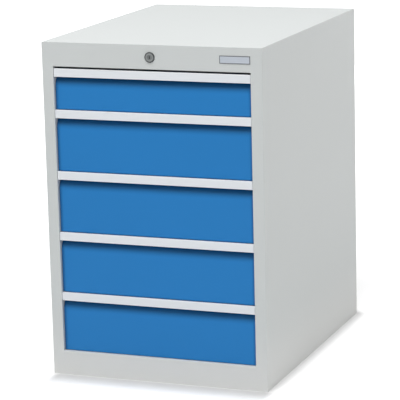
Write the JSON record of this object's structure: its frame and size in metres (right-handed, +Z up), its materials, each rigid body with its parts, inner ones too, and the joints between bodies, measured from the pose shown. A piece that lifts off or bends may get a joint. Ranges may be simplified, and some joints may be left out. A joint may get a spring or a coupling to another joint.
{
  "type": "reagent drawer cabinet",
  "caption": "Free-standing steel drawer cabinet: full-extension drawers with finger grips on telescopic rails and a central key lock.",
  "frame": {"origin": "bottom centre of the bounding box, in the middle of the footprint on the floor", "axes": "+Z up, +X to the right seen from the front, drawers pull out along -Y"},
  "size_m": [0.555, 0.7384, 0.82],
  "materials": {
    "housing_grey": "light grey powder coat, satin",
    "front_blue": "blue powder coat, satin",
    "grip_light": "pale satin anodised",
    "tray_grey": "light grey powder coat, satin",
    "rail_steel": "bright zinc plated",
    "zinc_steel": "galvanised sheet",
    "lock_metal": "satin nickel plated",
    "lock_core_metal": "satin nickel plated, darker",
    "badge_metal": "bare satin plate with a darker border"
  },
  "bodies": {
    "housing": {"side_panel_left": "housing_grey", "side_panel_right": "housing_grey", "top_panel": "housing_grey", "base_panel": "housing_grey", "back_panel": "housing_grey", "fascia": "housing_grey", "plinth_rail": "housing_grey", "upright_front_left": "zinc_steel", "upright_front_right": "zinc_steel", "upright_rear_left": "zinc_steel", "upright_rear_right": "zinc_steel", "badge_plate": "badge_metal", "lock_barrel": "lock_metal", "lock_nut": "zinc_steel", "bar_guides": "zinc_steel", "transfer_guides": "zinc_steel", "fixed_rails_1": "rail_steel", "fixed_rails_2": "rail_steel", "fixed_rails_3": "rail_steel", "fixed_rails_4": "rail_steel", "fixed_rails_5": "rail_steel"},
    "drawer_1": {"drawer_tray_1": "tray_grey", "drawer_front_1": "front_blue", "grip_strip_1": "grip_light", "drawer_catch_1": "zinc_steel", "inner_rails_1": "rail_steel"},
    "slides_1": {"middle_rails_1": "rail_steel"},
    "drawer_2": {"drawer_tray_2": "tray_grey", "drawer_front_2": "front_blue", "grip_strip_2": "grip_light", "drawer_catch_2": "zinc_steel", "inner_rails_2": "rail_steel"},
    "slides_2": {"middle_rails_2": "rail_steel"},
    "drawer_3": {"drawer_tray_3": "tray_grey", "drawer_front_3": "front_blue", "grip_strip_3": "grip_light", "drawer_catch_3": "zinc_steel", "inner_rails_3": "rail_steel"},
    "slides_3": {"middle_rails_3": "rail_steel"},
    "drawer_4": {"drawer_tray_4": "tray_grey", "drawer_front_4": "front_blue", "grip_strip_4": "grip_light", "drawer_catch_4": "zinc_steel", "inner_rails_4": "rail_steel"},
    "slides_4": {"middle_rails_4": "rail_steel"},
    "drawer_5": {"drawer_tray_5": "tray_grey", "drawer_front_5": "front_blue", "grip_strip_5": "grip_light", "drawer_catch_5": "zinc_steel", "inner_rails_5": "rail_steel"},
    "slides_5": {"middle_rails_5": "rail_steel"},
    "lock_core": {"lock_plug": "lock_core_metal", "lock_cam": "zinc_steel"},
    "transfer_bar": {"transfer_bar": "zinc_steel"},
    "locking_bar": {"locking_bar": "zinc_steel", "bar_hooks": "zinc_steel"}
  },
  "joints": [
    {"name": "drawer_1_pull", "type": "slide", "parent": "housing", "child": "drawer_1", "axis": [0, -1, 0], "range_m": [0, 0.6]},
    {"name": "slides_1_follow", "type": "slide", "parent": "housing", "child": "slides_1", "axis": [0, -1, 0], "range_m": [0, 0.3]},
    {"name": "drawer_2_pull", "type": "slide", "parent": "housing", "child": "drawer_2", "axis": [0, -1, 0], "range_m": [0, 0.6]},
    {"name": "slides_2_follow", "type": "slide", "parent": "housing", "child": "slides_2", "axis": [0, -1, 0], "range_m": [0, 0.3]},
    {"name": "drawer_3_pull", "type": "slide", "parent": "housing", "child": "drawer_3", "axis": [0, -1, 0], "range_m": [0, 0.6]},
    {"name": "slides_3_follow", "type": "slide", "parent": "housing", "child": "slides_3", "axis": [0, -1, 0], "range_m": [0, 0.3]},
    {"name": "drawer_4_pull", "type": "slide", "parent": "housing", "child": "drawer_4", "axis": [0, -1, 0], "range_m": [0, 0.6]},
    {"name": "slides_4_follow", "type": "slide", "parent": "housing", "child": "slides_4", "axis": [0, -1, 0], "range_m": [0, 0.3]},
    {"name": "drawer_5_pull", "type": "slide", "parent": "housing", "child": "drawer_5", "axis": [0, -1, 0], "range_m": [0, 0.6]},
    {"name": "slides_5_follow", "type": "slide", "parent": "housing", "child": "slides_5", "axis": [0, -1, 0], "range_m": [0, 0.3]},
    {"name": "lock_turn", "type": "hinge", "parent": "housing", "child": "lock_core", "pos_m": [0, -0.36675, 0.791], "axis": [0, 1, 0], "range_deg": [0, 90]},
    {"name": "transfer_bar_shift", "type": "slide", "parent": "housing", "child": "transfer_bar", "axis": [1, 0, 0], "range_m": [0, 0.009]},
    {"name": "locking_bar_lift", "type": "slide", "parent": "housing", "child": "locking_bar", "axis": [0, 0, 1], "range_m": [0, 0.009]}
  ],
  "couplings": [
    {"joint": "slides_1_follow", "follows": "drawer_1_pull", "ratio": 0.5},
    {"joint": "slides_2_follow", "follows": "drawer_2_pull", "ratio": 0.5},
    {"joint": "slides_3_follow", "follows": "drawer_3_pull", "ratio": 0.5},
    {"joint": "slides_4_follow", "follows": "drawer_4_pull", "ratio": 0.5},
    {"joint": "slides_5_follow", "follows": "drawer_5_pull", "ratio": 0.5},
    {"joint": "lock_turn", "follows": "locking_bar_lift", "rad_per_m": 174.53},
    {"joint": "transfer_bar_shift", "follows": "locking_bar_lift", "ratio": 1}
  ]
}
